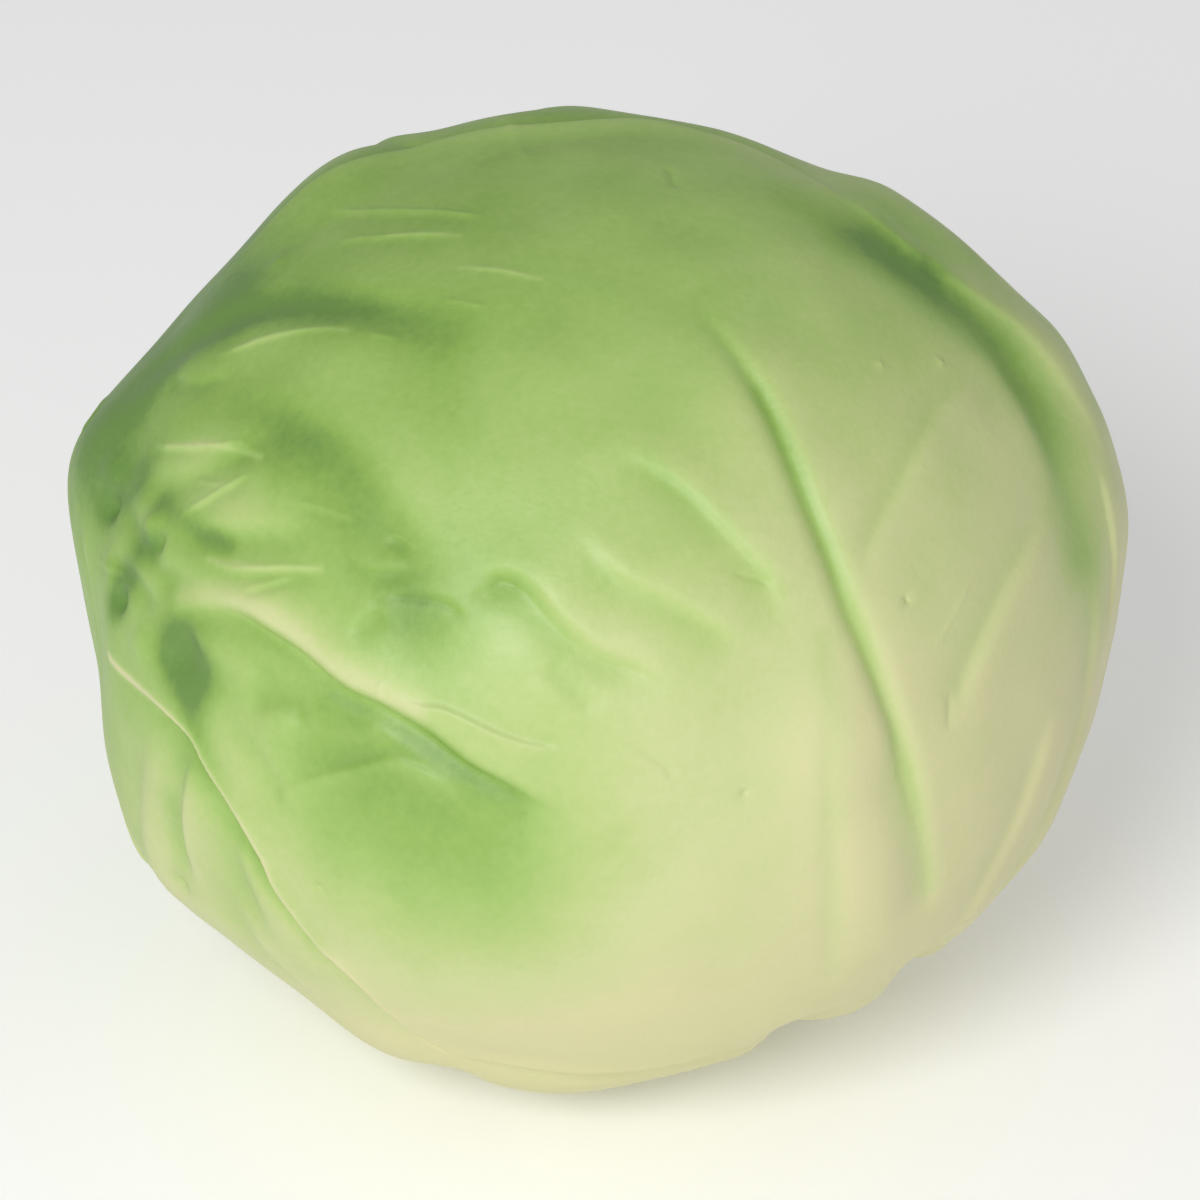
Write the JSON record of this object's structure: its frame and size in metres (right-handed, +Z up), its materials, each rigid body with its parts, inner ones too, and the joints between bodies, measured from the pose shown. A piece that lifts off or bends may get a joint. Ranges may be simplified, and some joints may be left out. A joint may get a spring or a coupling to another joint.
{
  "type": "foam cabbage stress toy",
  "caption": "Squeezable foam toy moulded in one piece as a round cabbage head, with wrapped leaves, ribs and folds, resting on a small flat spot.",
  "frame": {"origin": "on the surface it rests on, under the middle of its box", "axes": "+Z up, +X to the right of the side with the long rib, -Y the front that faces the viewer"},
  "size_m": [0.0754, 0.0732, 0.0658],
  "materials": {
    "painted_foam": "satin-matt skin of soft polyurethane foam, cream, sprayed with green that fades out towards the stem"
  },
  "bodies": {
    "root": {"foam_cabbage": "painted_foam"}
  },
  "joints": []
}
